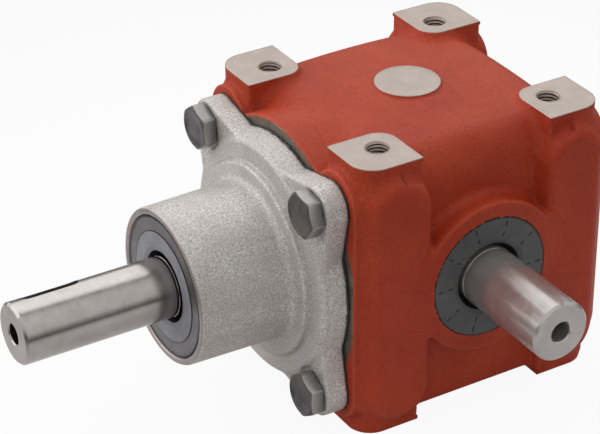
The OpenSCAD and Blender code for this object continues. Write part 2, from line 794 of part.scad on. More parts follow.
module patch(r1, r2, y1, y2) translate([r1, y1]) square([r2 - r1, y2 - y1]);

module spring_place(w) translate([shaft_r + 2.95, -w / 2 - 0.6]) circle(0.75 + $gap);

// Lip that rides on the shaft, hung from the seal's plate
module seal_lip(w) {
    difference() {
        union() {
            polygon([[neck_r, -seal_recess], [shaft_r + 2.2, -seal_recess - 0.6], [lip_r, 2.2 - w],
                     [lip_r + 1, 1 - w], [shaft_r + 2.4, 1 - w], [shaft_r + 2.4, plate_back - 0.7],
                     [neck_r, plate_back]]);
            patch(neck_r - 0.6, case_inner_r, plate_back - case_t, -seal_recess - 0.35);
        }
        spring_place(w, $gap = 0.2);
    }
}

// Rubber whose plate covers the whole case: bare steel shows only on the inside
module closed_rubber(outer, w) {
    seal_lip(w);
    patch(neck_r - 0.1, outer, plate_back, -seal_recess);
    patch(outer - skin, outer, -w, -seal_recess);
}

module closed_case(outer, w) {
    patch(outer - skin - case_t, outer - skin, 0.8 - w, plate_back);
    patch(case_inner_r, outer - skin, plate_back - case_t, plate_back);
}

// Rubber that leaves an outer ring of the case bare: it runs round behind the steel
module ringed_rubber(outer, w, face_r) {
    seal_lip(w);
    patch(neck_r - 0.1, face_r, plate_back, -seal_recess);
    patch(outer - skin, outer, -w, -seal_recess);
    patch(outer - skin - case_t - 0.8, outer, -w, 0.8 - w);
    patch(outer - skin - case_t - 0.8, outer - skin - case_t, -w, plate_back - case_t);
    patch(neck_r - 0.1, outer - skin - case_t, plate_back - case_t - 0.8, plate_back - case_t);
}

module ringed_case(outer, w, face_r) {
    patch(outer - skin - case_t, outer - skin, 0.8 - w, plate_back);
    patch(case_inner_r, outer - skin, plate_back - case_t, plate_back);
    patch(face_r, outer - skin, plate_back - case_t, -seal_recess - 0.2);
}

nose_seal_r = nose_seal_od / 2;
nose_face_r = nose_seal_r - 6;
tick_rows = [[17.6, 19.5], [22, 24.3]];

module at_nose_seal() on_input() translate([0, 0, nose_reach]) children();
module at_output_seal() on_output() translate([0, 0, side_face]) children();

module input_seal() color([0.3, 0.32, 0.36]) at_nose_seal() rotate_extrude()
    ringed_rubber(nose_seal_r, nose_seal_w, nose_face_r);

module input_seal_case() color([0.5, 0.48, 0.47]) at_nose_seal() rotate_extrude()
    ringed_case(nose_seal_r, nose_seal_w, nose_face_r);

module input_seal_spring() color([0.6, 0.6, 0.6]) at_nose_seal() rotate_extrude()
    spring_place(nose_seal_w, $gap = 0);

// The output seal's plate has two rows of narrow radial slots
module output_seal() color([0.16, 0.17, 0.18]) at_output_seal() difference() {
    rotate_extrude() closed_rubber(bearing_r, seal_w);
    for (row = tick_rows, turn = [18:36:342]) rotate([0, 0, turn])
        box_between([row[0], -0.3, -seal_recess - 0.5], [row[1], 0.3, 0]);
}

module output_seal_case() color([0.5, 0.48, 0.47]) at_output_seal() rotate_extrude()
    closed_case(bearing_r, seal_w);

module output_seal_spring() color([0.6, 0.6, 0.6]) at_output_seal() rotate_extrude()
    spring_place(seal_w, $gap = 0);

// Pressed steel cap that closes the blind end of the output bore
module closing_cap() {
    color([0.55, 0.55, 0.55]) on_blind() difference() {
        disc(bearing_r, side_face - seal_w, side_face - 0.5);
        disc(bearing_r - 1.5, side_face - seal_w - eps, side_face - 2);
        translate([0, 0, side_face - 1]) cylinder(r1 = 15, r2 = 17, h = 2);
    }
}

// Oil plugs on the rear wall: threaded shank, collar and hexagonal head
plug_seat = wall_face + plug_boss_h;
washer_t = 1.5;

module oil_plug() {
    collar = 3;
    disc(plug_thread / 2, plug_seat - plug_l, plug_seat + washer_t + eps);
    disc(plug_collar_d / 2, plug_seat + washer_t, plug_seat + washer_t + collar);
    translate([0, 0, plug_seat + washer_t + collar - eps]) hex_head(plug_af, plug_head_h + eps);
}

module plug_washer() ring(plug_thread / 2 + 0.1, plug_collar_d / 2 - 0.4, plug_seat,
                          plug_seat + washer_t);

module fill_plug() color([0.6, 0.6, 0.58]) on_rear(fill_rise) oil_plug();
module drain_plug() color([0.6, 0.6, 0.58]) on_rear(-drain_drop) oil_plug();
module fill_plug_washer() color([0.7, 0.42, 0.25]) on_rear(fill_rise) plug_washer();
module drain_plug_washer() color([0.7, 0.42, 0.25]) on_rear(-drain_drop) plug_washer();

housing();
input_flange();
flange_gasket();
flange_bolts();
input_shaft();
output_shaft();
input_gear();
output_gear();
input_gear_key();
output_gear_key();
input_gear_shim();
output_gear_shim();
input_gear_circlip();
nose_bearing_outer_ring();
nose_bearing_inner_ring();
nose_bearing_balls();
nose_bearing_cage();
throat_bearing_outer_ring();
throat_bearing_inner_ring();
throat_bearing_balls();
throat_bearing_cage();
output_bearing_outer_ring();
output_bearing_inner_ring();
output_bearing_balls();
output_bearing_cage();
blind_bearing_outer_ring();
blind_bearing_inner_ring();
blind_bearing_balls();
blind_bearing_cage();
nose_circlip();
output_circlip();
blind_circlip();
input_seal();
input_seal_case();
input_seal_spring();
output_seal();
output_seal_case();
output_seal_spring();
closing_cap();
fill_plug();
fill_plug_washer();
drain_plug();
drain_plug_washer();
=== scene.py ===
# %% [markdown]
# # A right-angle gearbox in red primer
# This lesson dresses a small bevel gearbox. The frame that is loaded below already holds
# every piece at its true size: shafts, bearings, gears, bolts and the cast housing. What is
# added here is what a casting has and a plain solid lacks: soft fillets where walls meet, a
# grainy skin under thin primer, bare milled pads, ground shafts and a sand-cast flange.
# Everything is worked out in millimetres from the point where the two shaft axes cross, and
# turned into metres above the ground plane only when a mesh is made.

# %% Load the frame
import math

import bpy
import numpy as np
from mathutils import Matrix


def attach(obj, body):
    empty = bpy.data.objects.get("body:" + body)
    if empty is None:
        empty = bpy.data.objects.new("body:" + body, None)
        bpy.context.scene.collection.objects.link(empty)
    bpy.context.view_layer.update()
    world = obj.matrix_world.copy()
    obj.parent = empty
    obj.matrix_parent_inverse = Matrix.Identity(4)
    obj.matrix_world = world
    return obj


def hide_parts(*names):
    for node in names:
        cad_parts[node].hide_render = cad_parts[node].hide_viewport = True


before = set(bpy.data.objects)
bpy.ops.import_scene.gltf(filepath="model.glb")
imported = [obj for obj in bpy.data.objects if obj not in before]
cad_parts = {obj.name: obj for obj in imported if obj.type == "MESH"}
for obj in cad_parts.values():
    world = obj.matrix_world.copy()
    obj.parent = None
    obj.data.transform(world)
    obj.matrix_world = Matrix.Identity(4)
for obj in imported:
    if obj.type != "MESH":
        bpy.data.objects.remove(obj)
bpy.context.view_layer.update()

# %% [markdown]
# ## Sizes
# The sizes repeat those of the solids, so that each dressed piece lies where the solid lies.
# Heights run from the shaft axes, which lie halfway up the housing.

# %% Sizes in millimetres
MM = 0.001
AXIS_HEIGHT = 60.0
WALL_FACE = 52.0
SIDE_FACE = 61.0
PAD_CENTRE = 42.75
PAD_HALF = 13.25
HOLE_AT = 40.0
BOLT_AT = 41.0
FRONT_FACE = 59.3
MOUNT_FACE = 59.8
PLATE_FACE = 70.0
EAR_FACE = 69.0
RING_FACE = 72.8
SPOT_R = 10.2
NOSE_REACH = 113.0
print("housing from", -SIDE_FACE, "to", SIDE_FACE, "mm, flange on", -MOUNT_FACE)

# %% [markdown]
# ## From arrays to a mesh
# Every shape below is an array of points. A mesh only needs the points, the faces that join
# them and, where a surface has to know something about itself, one number for each point.
# These numbers are stored as attributes, which a material can read.

# %% One helper that makes every piece
def make_piece(name, points, faces, body, finishes, which=None, marks=None):
    """Mesh object from points in millimetres and faces as index rows.

    The points move up by the height of the shaft axes and are scaled to metres. which gives
    the number of each face's finish, marks gives named numbers for the points."""
    place = (np.asarray(points, float) + [0, 0, AXIS_HEIGHT]) * MM
    mesh = bpy.data.meshes.new(name)
    mesh.from_pydata(place, [], faces.tolist())
    for key, values in (marks or {}).items():
        layer = mesh.attributes.new(key, "FLOAT", "POINT")
        layer.data.foreach_set("value", np.asarray(values, np.float32))
    for finish in finishes:
        mesh.materials.append(finish)
    if which is not None:
        mesh.polygons.foreach_set("material_index", np.asarray(which, np.int32))
    mesh.polygons.foreach_set("use_smooth", np.ones(len(mesh.polygons), bool))
    mesh.update()
    piece = bpy.data.objects.new(name, mesh)
    bpy.context.scene.collection.objects.link(piece)
    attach(piece, body)
    print(name, len(mesh.vertices), "points", len(mesh.polygons), "faces")
    return piece


print("the crossing of the axes goes to", AXIS_HEIGHT * MM, "m above the ground")

# %% [markdown]
# ## Grids that close on themselves
# A turned part is a profile carried round an axis, so its points form a grid with one
# direction that closes. The same grid also serves a hexagon head or a square pad: only the
# radius then changes with the angle. A row of radius zero closes a part on its axis.

# %% Faces of a grid, and several grids joined into one
def grid_faces(rows, columns):
    """Quads between the rows of a grid of points whose last column joins its first: the
    corners are (row, column), (row, column + 1) and the same two in the next row."""
    r, c = np.meshgrid(np.arange(rows - 1), np.arange(columns), indexing="ij")
    a, b = r * columns + c, r * columns + (c + 1) % columns
    return np.stack([a, b, b + columns, a + columns], -1).reshape(-1, 4)


def join_grids(grids):
    """Points, quads and a part number for each quad, for several (grid, part) pairs."""
    points, quads, parts, start = [], [], [], 0
    for grid, part in grids:
        rows, columns = grid.shape[:2]
        f = grid_faces(rows, columns)
        points.append(grid.reshape(-1, 3))
        quads.append(f + start)
        parts.append(np.full(len(f), part))
        start += rows * columns
    return np.concatenate(points), np.concatenate(quads), np.concatenate(parts)


def turned(profile, count=160):
    """Grid of a profile of (radius, distance) pairs carried round the local Z axis.

    Point (i, j) lies at angle j, at radius and distance i."""
    profile = np.asarray(profile, float)
    angle = np.linspace(0, 2 * np.pi, count, endpoint=False)
    ring = np.stack([np.cos(angle), np.sin(angle), 0 * angle], -1)
    along = np.array([0, 0, 1.0])
    return profile[:, :1, None] * ring[None] + profile[:, 1:, None] * along


def along_input(grid):
    """Turns local points so that local Z points out along the input shaft, towards -Y."""
    return np.stack([grid[..., 0], -grid[..., 2], grid[..., 1]], -1)


print("a turned profile of 3 points, 8 steps round, has", len(grid_faces(3, 8)), "faces")

# %% [markdown]
# ## Shader maths written as sums
# A finish mixes a few noises. Wires let those be written the way one would say them: a
# product of two wires adds a Math node that multiplies, and 1 - mask works as well.

# %% Wires
class Wire:
    """The output of a node. Arithmetic with numbers or other wires adds Math nodes."""

    def __init__(self, nodes, out):
        self.nodes, self.out = nodes, out

    def math(self, operation, first, second):
        """Adds the Math node that does the operation on two numbers or wires."""
        return self.nodes.node("Math", {"operation": operation}, {0: first, 1: second})

    def __add__(self, other):
        return self.math("ADD", self, other)

    def __sub__(self, other):
        return self.math("SUBTRACT", self, other)

    def __rsub__(self, other):
        return self.math("SUBTRACT", other, self)

    def __mul__(self, other):
        return self.math("MULTIPLY", self, other)

    __radd__ = __add__
    __rmul__ = __mul__

    def span(self, low, high, to_low=0.0, to_high=1.0):
        """The value's place between low and high, moved to the span to_low to to_high."""
        return self.nodes.node(
            "MapRange", {"clamp": True},
            {"Value": self, "From Min": low, "From Max": high,
             "To Min": to_low, "To Max": to_high})

    def size(self):
        """The value without its sign."""
        return self.math("ABSOLUTE", self, 0.0)

    def most(self, other):
        """The larger of two values."""
        return self.math("MAXIMUM", self, other)


print("a wire can", [name for name in vars(Wire) if not name.startswith("__")])

# %% [markdown]
# ## A tree of nodes
# Materials, the floor and the air are all trees of nodes, so one small class grows them all.
# It makes a node of any kind, sets it up, links what is a wire and types in what is not.

# %% Nodes
class Nodes:
    """A node tree that starts empty and hands out wires."""

    def __init__(self, tree):
        self.tree = tree
        tree.nodes.clear()

    def node(self, kind, settings, sockets, out=0):
        """Adds a node, sets its settings first and then the values or links of its sockets."""
        made = self.tree.nodes.new("ShaderNode" + kind)
        for key, value in settings.items():
            setattr(made, key, value)
        for key, value in sockets.items():
            if isinstance(value, Wire):
                self.tree.links.new(value.out, made.inputs[key])
            else:
                made.inputs[key].default_value = value
        return None if out is None else Wire(self, made.outputs[out])

    def blend(self, share, first, second):
        """Colour between first and second."""
        tint = [c if isinstance(c, Wire) else (*c, 1) for c in (first, second)]
        return self.node(
            "Mix", {"data_type": "RGBA"}, {0: share, 6: tint[0], 7: tint[1]}, 2)


print("a tree can", [name for name in vars(Nodes) if not name.startswith("__")])

# %% [markdown]
# ## A finish
# A finish is one material: a Principled shader, the object's own coordinates and the nodes
# that vary it. What is the same all over a piece is typed into the shader's own sockets.

# %% Finish
class Finish(Nodes):
    """One material, its textures laid out in the object's own coordinates."""

    def __init__(self, name, **constants):
        self.material = bpy.data.materials.new(name)
        self.material.use_nodes = True
        super().__init__(self.material.node_tree)
        self.shader = self.tree.nodes.new("ShaderNodeBsdfPrincipled")
        out = self.tree.nodes.new("ShaderNodeOutputMaterial")
        self.tree.links.new(self.shader.outputs[0], out.inputs[0])
        self.place = self.node("TexCoord", {}, {}, "Object")
        for key, value in constants.items():
            self.shader.inputs[key.replace("_", " ")].default_value = value

    def noise(self, size_mm, detail=3.0, roughness=0.5, stretch=(1, 1, 1)):
        """Noise between 0 and 1 whose blobs are about size_mm across; a stretch below 1 makes
        them longer that way."""
        place = self.node("Mapping", {}, {"Vector": self.place, "Scale": stretch})
        return self.node(
            "TexNoise", {"noise_dimensions": "3D"},
            {"Vector": place, "Scale": 1 / (size_mm * MM), "Detail": detail,
             "Roughness": roughness})

    def mark(self, name):
        """The number that the mesh stores under that name."""
        return self.node("Attribute", {"attribute_name": name}, {}, "Fac")

    def radius(self, across):
        """Distance in millimetres from a shaft's axis; across is (0, 1, 1) for the output
        shaft and (1, 0, 1) for the input shaft."""
        away = self.node("VectorMath", {"operation": "SUBTRACT"},
                         {0: self.place, 1: (0, 0, AXIS_HEIGHT * MM)})
        flat = self.node("VectorMath", {"operation": "MULTIPLY"}, {0: away, 1: across})
        return self.node("VectorMath", {"operation": "LENGTH"}, {0: flat}, "Value") * (1 / MM)

    def bump(self, height, depth_mm):
        """Normal of a height between 0 and 1 that stands for depth_mm."""
        return self.node(
            "Bump", {}, {"Height": height, "Distance": depth_mm * MM, "Strength": 1.0})

    def feed(self, **wires):
        """Links wires to the shader's sockets, underscores standing for spaces."""
        for key, wire in wires.items():
            self.tree.links.new(wire.out, self.shader.inputs[key.replace("_", " ")])
        return self.material


print("a finish can", [name for name in vars(Finish) if not name.startswith("__")])

# %% [markdown]
# ## Red primer on cast iron
# The housing left the mould with the grain of the sand in its skin, was dipped in a thin
# red-orange primer and never smoothed. Two noises make the grain: a coarse one for the
# lumps and a fine one for single grains, a little darker in the hollows between them. The
# edges, which the mesh marks with the number edge, get a painted highlight, and the corners
# a painted shade.

# %% Finish of the housing
def red_primer():
    """Red that clouds over 26 mm, darker in grains and pits, with painted shade in the corners
    and a painted highlight on the edges.
    """
    f = Finish("red_primer", Specular_IOR_Level=0.22)
    lumps = f.noise(3.4, 3.0, 0.6)
    grain = f.noise(0.8, 3.0, 0.65)
    cloud = f.noise(26.0, 3.0, 0.55)
    pit = f.noise(1.9, 2.0, 0.5).span(0.60, 0.72)
    # The edge mark paints a highlight on outer edges and, where it is negative, a shade in
    # corners.
    edge = f.mark("edge").span(0.15, 1.1)
    painted_corner_shade = f.mark("edge").span(-0.15, -1.0)
    base = f.blend(cloud.span(0.3, 0.7), (0.375, 0.037, 0.013), (0.490, 0.064, 0.020))
    base = f.blend(grain.span(0.35, 0.68, 0.0, 0.55), base, (0.32, 0.023, 0.008))
    base = f.blend(pit * 0.22, base, (0.16, 0.013, 0.006))
    # Painted shade in the corners, then a painted highlight on the edges.
    base = f.blend(painted_corner_shade * 0.7, base, (0.15, 0.011, 0.005))
    base = f.blend(edge * 0.5, base, (0.60, 0.115, 0.055))
    soft = (grain * 0.20 + 0.40) - edge * 0.06
    height = lumps * 0.5 + grain * 0.5 - pit * 0.2
    return f.feed(Base_Color=base, Roughness=soft, Normal=f.bump(height, 0.62))


PRIMER = red_primer()
print("finish", PRIMER.name)

# %% [markdown]
# ## Bare milled iron
# The pads and the disc were milled after casting, so they are bare: a light, slightly warm
# grey with very fine parallel tool lines and a few handling scratches. The front face, which
# shows as a narrow band round the flange, gets a darker tone of the same finish.

# %% Finish of milled faces
def milled_iron(name, dark, light, soft):
    """Bare iron between two tones, with tool lines along Y and scratches across them; soft is
    its mean roughness."""
    f = Finish(name, Metallic=1.0, Specular_IOR_Level=0.5)
    lines = f.noise(0.45, 2.0, 0.6, stretch=(1.0, 0.05, 1.0))
    scratch = f.noise(2.4, 3.0, 0.75, stretch=(0.12, 1.6, 1.0)).span(0.60, 0.70)
    blotch = f.noise(9.0, 3.0, 0.6)
    base = f.blend(blotch.span(0.3, 0.7), dark, light)
    base = f.blend(scratch * 0.3, base, dark)
    rough = lines * 0.14 + blotch * 0.12 + (soft - 0.1)
    return f.feed(Base_Color=base, Roughness=rough, Normal=f.bump(lines, 0.012))


MILLED = milled_iron("milled_iron", (0.38, 0.325, 0.285), (0.46, 0.395, 0.35), 0.46)
# The front face's finish: the same milled iron in darker tones.
DARK_MILLED = milled_iron("dark_milled_iron", (0.14, 0.12, 0.095), (0.30, 0.265, 0.215), 0.44)
print("finishes", MILLED.name, DARK_MILLED.name)

# %% [markdown]
# ## Sand-cast alloy
# The flange is an aluminium casting: pale, speckled with tiny bright and dark grains, and
# rougher than the milled iron. Speckles are a hard-edged noise; the grain beneath is bump.

# %% Finish of the flange
def cast_alloy():
    """Speckles of 0.7 mm from dark to bright under clouds of 13 mm, with painted shade in the
    corners.
    """
    f = Finish("cast_alloy", Metallic=0.45, Specular_IOR_Level=0.5)
    speck = f.noise(0.7, 3.0, 0.7)
    fine = f.noise(0.28, 2.0, 0.6)
    cloud = f.noise(13.0, 4.0, 0.6)
    # Painted shade: the corners that the edge mark finds are made darker.
    painted_corner_shade = f.mark("edge").span(-0.1, -0.9)
    base = f.blend(speck.span(0.36, 0.64), (0.35, 0.325, 0.305), (0.82, 0.79, 0.76))
    base = f.blend(cloud.span(0.35, 0.7, 0.0, 0.6), base, (0.46, 0.41, 0.38))
    base = f.blend(painted_corner_shade * 0.45, base, (0.30, 0.27, 0.245))
    soft = 0.60 - speck * 0.16
    height = speck * 0.6 + fine * 0.4
    return f.feed(Base_Color=base, Roughness=soft, Normal=f.bump(height, 0.16))


ALLOY = cast_alloy()
print("finish", ALLOY.name)

# %% [markdown]
# ## Turned, ground and plated steel
# One recipe serves all the bright steel: fine grinding lines run round the part, so the
# noise is stretched very little along the axis and a lot round it. Only tone and roughness
# change from piece to piece.

# %% Finishes of steel parts
def steel(name, dark, light, soft, line_mm=0.35, stretch=(1, 1, 1), depth=0.004, metallic=1.0,
          painted_highlight=None):
    """Bright metal with fine lines; soft is its mean roughness, and the last argument, if given,
    is the tone of a painted highlight on its marked edges."""
    f = Finish(name, Metallic=metallic, Specular_IOR_Level=0.5)
    lines = f.noise(line_mm, 2.0, 0.6, stretch=stretch)
    cloud = f.noise(7.0, 3.0, 0.6)
    base = f.blend(cloud.span(0.3, 0.7), dark, light)
    if painted_highlight:
        # Painted highlight: the marked edges are made lighter in the given tone.
        base = f.blend(f.mark("edge") * 0.8, base, painted_highlight)
    rough = lines * 0.10 + cloud * 0.10 + (soft - 0.10)
    return f.feed(Base_Color=base, Roughness=rough, Normal=f.bump(lines, depth))


GROUND_OUT = steel("ground_output", (0.46, 0.43, 0.41), (0.55, 0.52, 0.50), 0.19, 0.3,
                   stretch=(1.0, 0.04, 0.04), depth=0.045, metallic=0.7)
GROUND_IN = steel("ground_input", (0.42, 0.39, 0.37), (0.50, 0.47, 0.45), 0.19, 0.3,
                  stretch=(0.04, 1.0, 0.04), depth=0.014)
BRIGHT = steel("bearing_steel", (0.55, 0.55, 0.56), (0.68, 0.68, 0.69), 0.18, 0.5)
GEAR = steel("gear_steel", (0.22, 0.21, 0.20), (0.34, 0.33, 0.31), 0.34, 0.6)
PRESSED = steel("pressed_case", (0.17, 0.165, 0.165), (0.25, 0.24, 0.24), 0.42, 1.2)
PLATED = steel("plated_plug", (0.42, 0.41, 0.37), (0.58, 0.57, 0.52), 0.33, 0.8)
COPPER = steel("copper_washer", (0.50, 0.21, 0.10), (0.64, 0.30, 0.16), 0.38, 0.9)
# Black coat, with a painted highlight in light grey on its marked edges.
PHOSPHATE = steel("black_phosphate", (0.065, 0.062, 0.060), (0.180, 0.175, 0.172), 0.36, 0.5,
                  depth=0.02, metallic=0.7, painted_highlight=(0.46, 0.44, 0.43))

# %% [markdown]
# ## Gasket and cage
# The gasket is dark and dull paper, and the bearing cages are a glass-filled polymer. One
# recipe serves both, and later the sealant too: a dark tone with a faint bloom.

# %% Finishes of soft parts
def moulded(name, dark, light, soft, grain_mm=0.8, depth=0.01):
    """Rubber or plastic: a dark tone with a faint cloudy bloom and a fine grain."""
    f = Finish(name, Specular_IOR_Level=0.45)
    grain = f.noise(grain_mm, 3.0, 0.6)
    bloom = f.noise(6.0, 3.0, 0.6).span(0.35, 0.7)
    base = f.blend(bloom, dark, light)
    return f.feed(Base_Color=base, Roughness=grain * 0.12 + bloom * 0.10 + (soft - 0.1),
                  Normal=f.bump(grain, depth))


GASKET = moulded("gasket_paper", (0.010, 0.011, 0.013), (0.024, 0.026, 0.030), 0.5, 0.6, 0.03)
CAGE = moulded("cage_polymer", (0.10, 0.085, 0.05), (0.15, 0.13, 0.08), 0.5)
print("finishes", GASKET.name, CAGE.name)

# %% [markdown]
# ## Seals seen from the front
# A shaft seal is a set of rings: a groove at the rim, the rubber that grips the bore, a bare
# band of its steel case, then the soft disc that leads to the lip. On the solid these are all
# one body, so the finish reads the distance from the shaft's axis and colours ring by ring.

# %% Finishes of the seals
def ringed(name, across, rings, soft):
    """Rubber whose tone changes with the radius; rings are pairs of radius and colour, each
    colour reaching out to its radius."""
    f = Finish(name, Specular_IOR_Level=0.45)
    r = f.radius(across)
    grain, bloom = f.noise(0.8, 3.0, 0.6), f.noise(5.0, 3.0, 0.6).span(0.3, 0.75)
    base = rings[-1][1]
    for reach, tone in reversed(rings[:-1]):
        base = f.blend(r.span(reach - 0.12, reach + 0.12), tone, base)
    base = f.blend(bloom * 0.35, base, (0.02, 0.02, 0.022))
    return f.feed(Base_Color=base, Roughness=grain * 0.12 + (soft - 0.06),
                  Normal=f.bump(grain, 0.01))


RUBBER = ringed("seal_rubber", (0, 1, 1), [
    (14.6, (0.008, 0.009, 0.010)), (25.6, (0.088, 0.090, 0.089)), (26.4, (0.006, 0.006, 0.006)),
    (40, (0.03, 0.03, 0.03))], 0.42)
NOSE_RUBBER = ringed("nose_seal_rubber", (1, 0, 1), [
    (14.8, (0.012, 0.012, 0.013)), (22.6, (0.250, 0.248, 0.275)), (23.4, (0.008, 0.008, 0.009)),
    (25.6, (0.370, 0.315, 0.295)), (28.2, (0.190, 0.178, 0.190)), (40, (0.006, 0.006, 0.006))],
    0.44)
print("finishes", RUBBER.name, NOSE_RUBBER.name)

# %% [markdown]
# ## A casting as one formula
# A casting has no sharp inner corners: where two walls meet, the sand leaves a fillet. The
# whole housing is therefore written as one formula that is negative inside the iron, zero on
# its skin and grows with the distance from it. Two small rules join the parts: round_and
# keeps what lies in both and rounds the outer edge, fillet_or keeps what lies in either and
# fills the inner corner. Both are true circular arcs where the two skins are square.

# %% Rules that join distances
def round_and(a, b, r):
    """Distance to what lies in both a and b, the edge between them rounded with radius r."""
    return np.minimum(-r, np.maximum(a, b)) + np.hypot(np.maximum(a + r, 0),
                                                       np.maximum(b + r, 0))


def fillet_or(a, b, r):
    """Distance to what lies in a or b, the corner between them filled with radius r."""
    return np.maximum(r, np.minimum(a, b)) - np.hypot(np.maximum(r - a, 0),
                                                      np.maximum(r - b, 0))


def cut(a, b):
    """Distance to what lies in a and not in b."""
    return np.maximum(a, -b)


print("rounding with 2 mm takes", round(float(round_and(0, 0, 2)), 2), "mm off a square corner,",
      "a fillet adds", -round(float(fillet_or(0, 0, 2)), 2))

# %% [markdown]
# ## The skin of a formula
# To turn the formula into a mesh, space is divided into small cells. A cell that the skin
# passes through gets one point, and every cell edge that pierces the skin gets one face
# between the four cells round it. The points then slide along the formula's slope until the
# formula is zero there, so that they lie on the true skin and not on the grid.

# %% Mesh of the skin
def slope(formula, p, h=0.02):
    """Direction in which the formula grows, from its values a little to each side."""
    steps = np.eye(3) * h
    return np.stack([(formula(*(p + s).T) - formula(*(p - s).T)) / (2 * h) for s in steps], -1)


def skin(formula, low, high, step):
    """Points and quads on the surface where formula is zero, inside a box."""
    axes = [np.arange(a, b + step, step) for a, b in zip(low, high)]
    size = [len(a) for a in axes]
    value = formula(*np.meshgrid(*axes, indexing="ij"))
    inside = value < 0
    corners = np.array([[i, j, k] for i in (0, 1) for j in (0, 1) for k in (0, 1)])
    shifted = [inside[i:size[0] - 1 + i, j:size[1] - 1 + j, k:size[2] - 1 + k]
               for i, j, k in corners]
    count = np.sum(shifted, axis=0, dtype=np.int8)
    cells = np.argwhere((count > 0) & (count < 8))
    number = np.full([s - 1 for s in size], -1)
    number[tuple(cells.T)] = np.arange(len(cells))
    # Mean of the places where the twelve edges of each cell pierce the skin
    at = value[tuple((cells[:, None] + corners).reshape(-1, 3).T)].reshape(len(cells), 8)
    total, hits = np.zeros((len(cells), 3)), np.zeros(len(cells))
    for a in range(8):
        for bit in (4, 2, 1):
            if a & bit:
                continue
            f0, f1 = at[:, a], at[:, a | bit]
            pierced = (f0 < 0) != (f1 < 0)
            t = np.where(pierced, f0 / np.where(pierced, f0 - f1, 1), 0)
            way = corners[a] + t[:, None] * (corners[a | bit] - corners[a])
            total += np.where(pierced[:, None], way, 0)
            hits += pierced
    points = np.array(low) + (cells + total / hits[:, None]) * step
    for _ in range(4):
        g = slope(formula, points)
        move = formula(*points.T)[:, None] * g / np.maximum((g**2).sum(1), 0.1)[:, None]
        points -= np.clip(move, -0.4 * step, 0.4 * step)
    quads = []
    for d in range(3):
        a, b = (d + 1) % 3, (d + 2) % 3
        first = np.take(inside, range(size[d] - 1), d)
        second = np.take(inside, range(1, size[d]), d)
        for here, there, flip in ((first, second, False), (second, first, True)):
            edge = np.argwhere(here & ~there)
            edge = edge[(edge[:, a] > 0) & (edge[:, b] > 0)
                        & (edge[:, a] < size[a] - 1) & (edge[:, b] < size[b] - 1)]
            ring = []
            for da, db in ((-1, -1), (0, -1), (0, 0), (-1, 0)):
                cell = edge.copy()
                cell[:, a] += da
                cell[:, b] += db
                ring.append(number[tuple(cell.T)])
            quad = np.stack(ring, -1)
            quads.append(quad[:, ::-1] if flip else quad)
    return points, np.concatenate(quads)


def edge_mark(formula, points, h=1.2):
    """How sharply the skin bends outwards at each point: the formula's mean a short way off
    to all sides, less its value there, is large on outer edges and negative in corners."""
    total = 0
    for axis in np.eye(3) * h:
        total = total + formula(*(points + axis).T) + formula(*(points - axis).T)
    return total / 6 / h * 3


ball, _ = skin(lambda x, y, z: np.hypot(np.hypot(x, y), z) - 5, (-6, -6, -6), (6, 6, 6), 1)
print("a test ball of 5 mm comes out to", np.ptp(np.linalg.norm(ball, axis=1)), "mm")

# %% [markdown]
# ## The housing's formula
# The body is a box with a slightly domed top and broad shoulders. Four columns carry the
# pads; their plan is a square with one large, one middling and two small corners. Each
# column swells outwards in a long pad with round ends and sloping sides, on both sides and
# at the back. The front is a milled plate, a circle with four bolt lobes.

# %% Formula of the casting
DOME_TOP, DOME_WIDTH, SHOULDER_R, BELLY = 59.3, 900, 13.0, 57
FRONT_R, FRONT_HALF, LOBE_R = 56.2, 55, 14
BOSS_R, BORE_R = 33, 26.1
SWELL_R, SWELL_DEPTH = 12.0, 5.0
DISC_R, DISC_FACE = 13.3, 59.93
PLUG_UPPER, PLUG_LOWER, PLUG_FACE = 30, 33, 55


def column_plan(ax, ay, small=1.2):
    """Distance to the column's square plan: the corner radius is 10 at the outer corner, 8 at
    the inner one and small at the other two."""
    qx, qy = ax - PAD_CENTRE, ay - PAD_CENTRE
    r = np.where((qx > 0) & (qy > 0), 10.0, np.where((qx < 0) & (qy < 0), 8.0, small))
    dx, dy = np.abs(qx) - PAD_HALF + r, np.abs(qy) - PAD_HALF + r
    return np.minimum(np.maximum(dx, dy), 0) + np.hypot(np.maximum(dx, 0),
                                                        np.maximum(dy, 0)) - r


def swelling(out, across, az):
    """Distance to the long swelling whose face lies at SIDE_FACE: a strip with round ends of
    SWELL_R about the pads' holes. out is the distance from the axis plane, across the distance
    from the middle plane. Its sides lean outwards towards the root, most on the outer side."""
    c = across - HOLE_AT
    depth = np.clip((SIDE_FACE - out) / SWELL_DEPTH, 0, 1.4)
    reach = np.hypot(c, np.maximum(az - HOLE_AT, 0))
    lean = np.where(c < 0, 1.2, 3.4)
    sides = (reach - SWELL_R - lean * depth) * 0.86
    return np.maximum(round_and(sides, out - SIDE_FACE, 2.6), 45 - out)


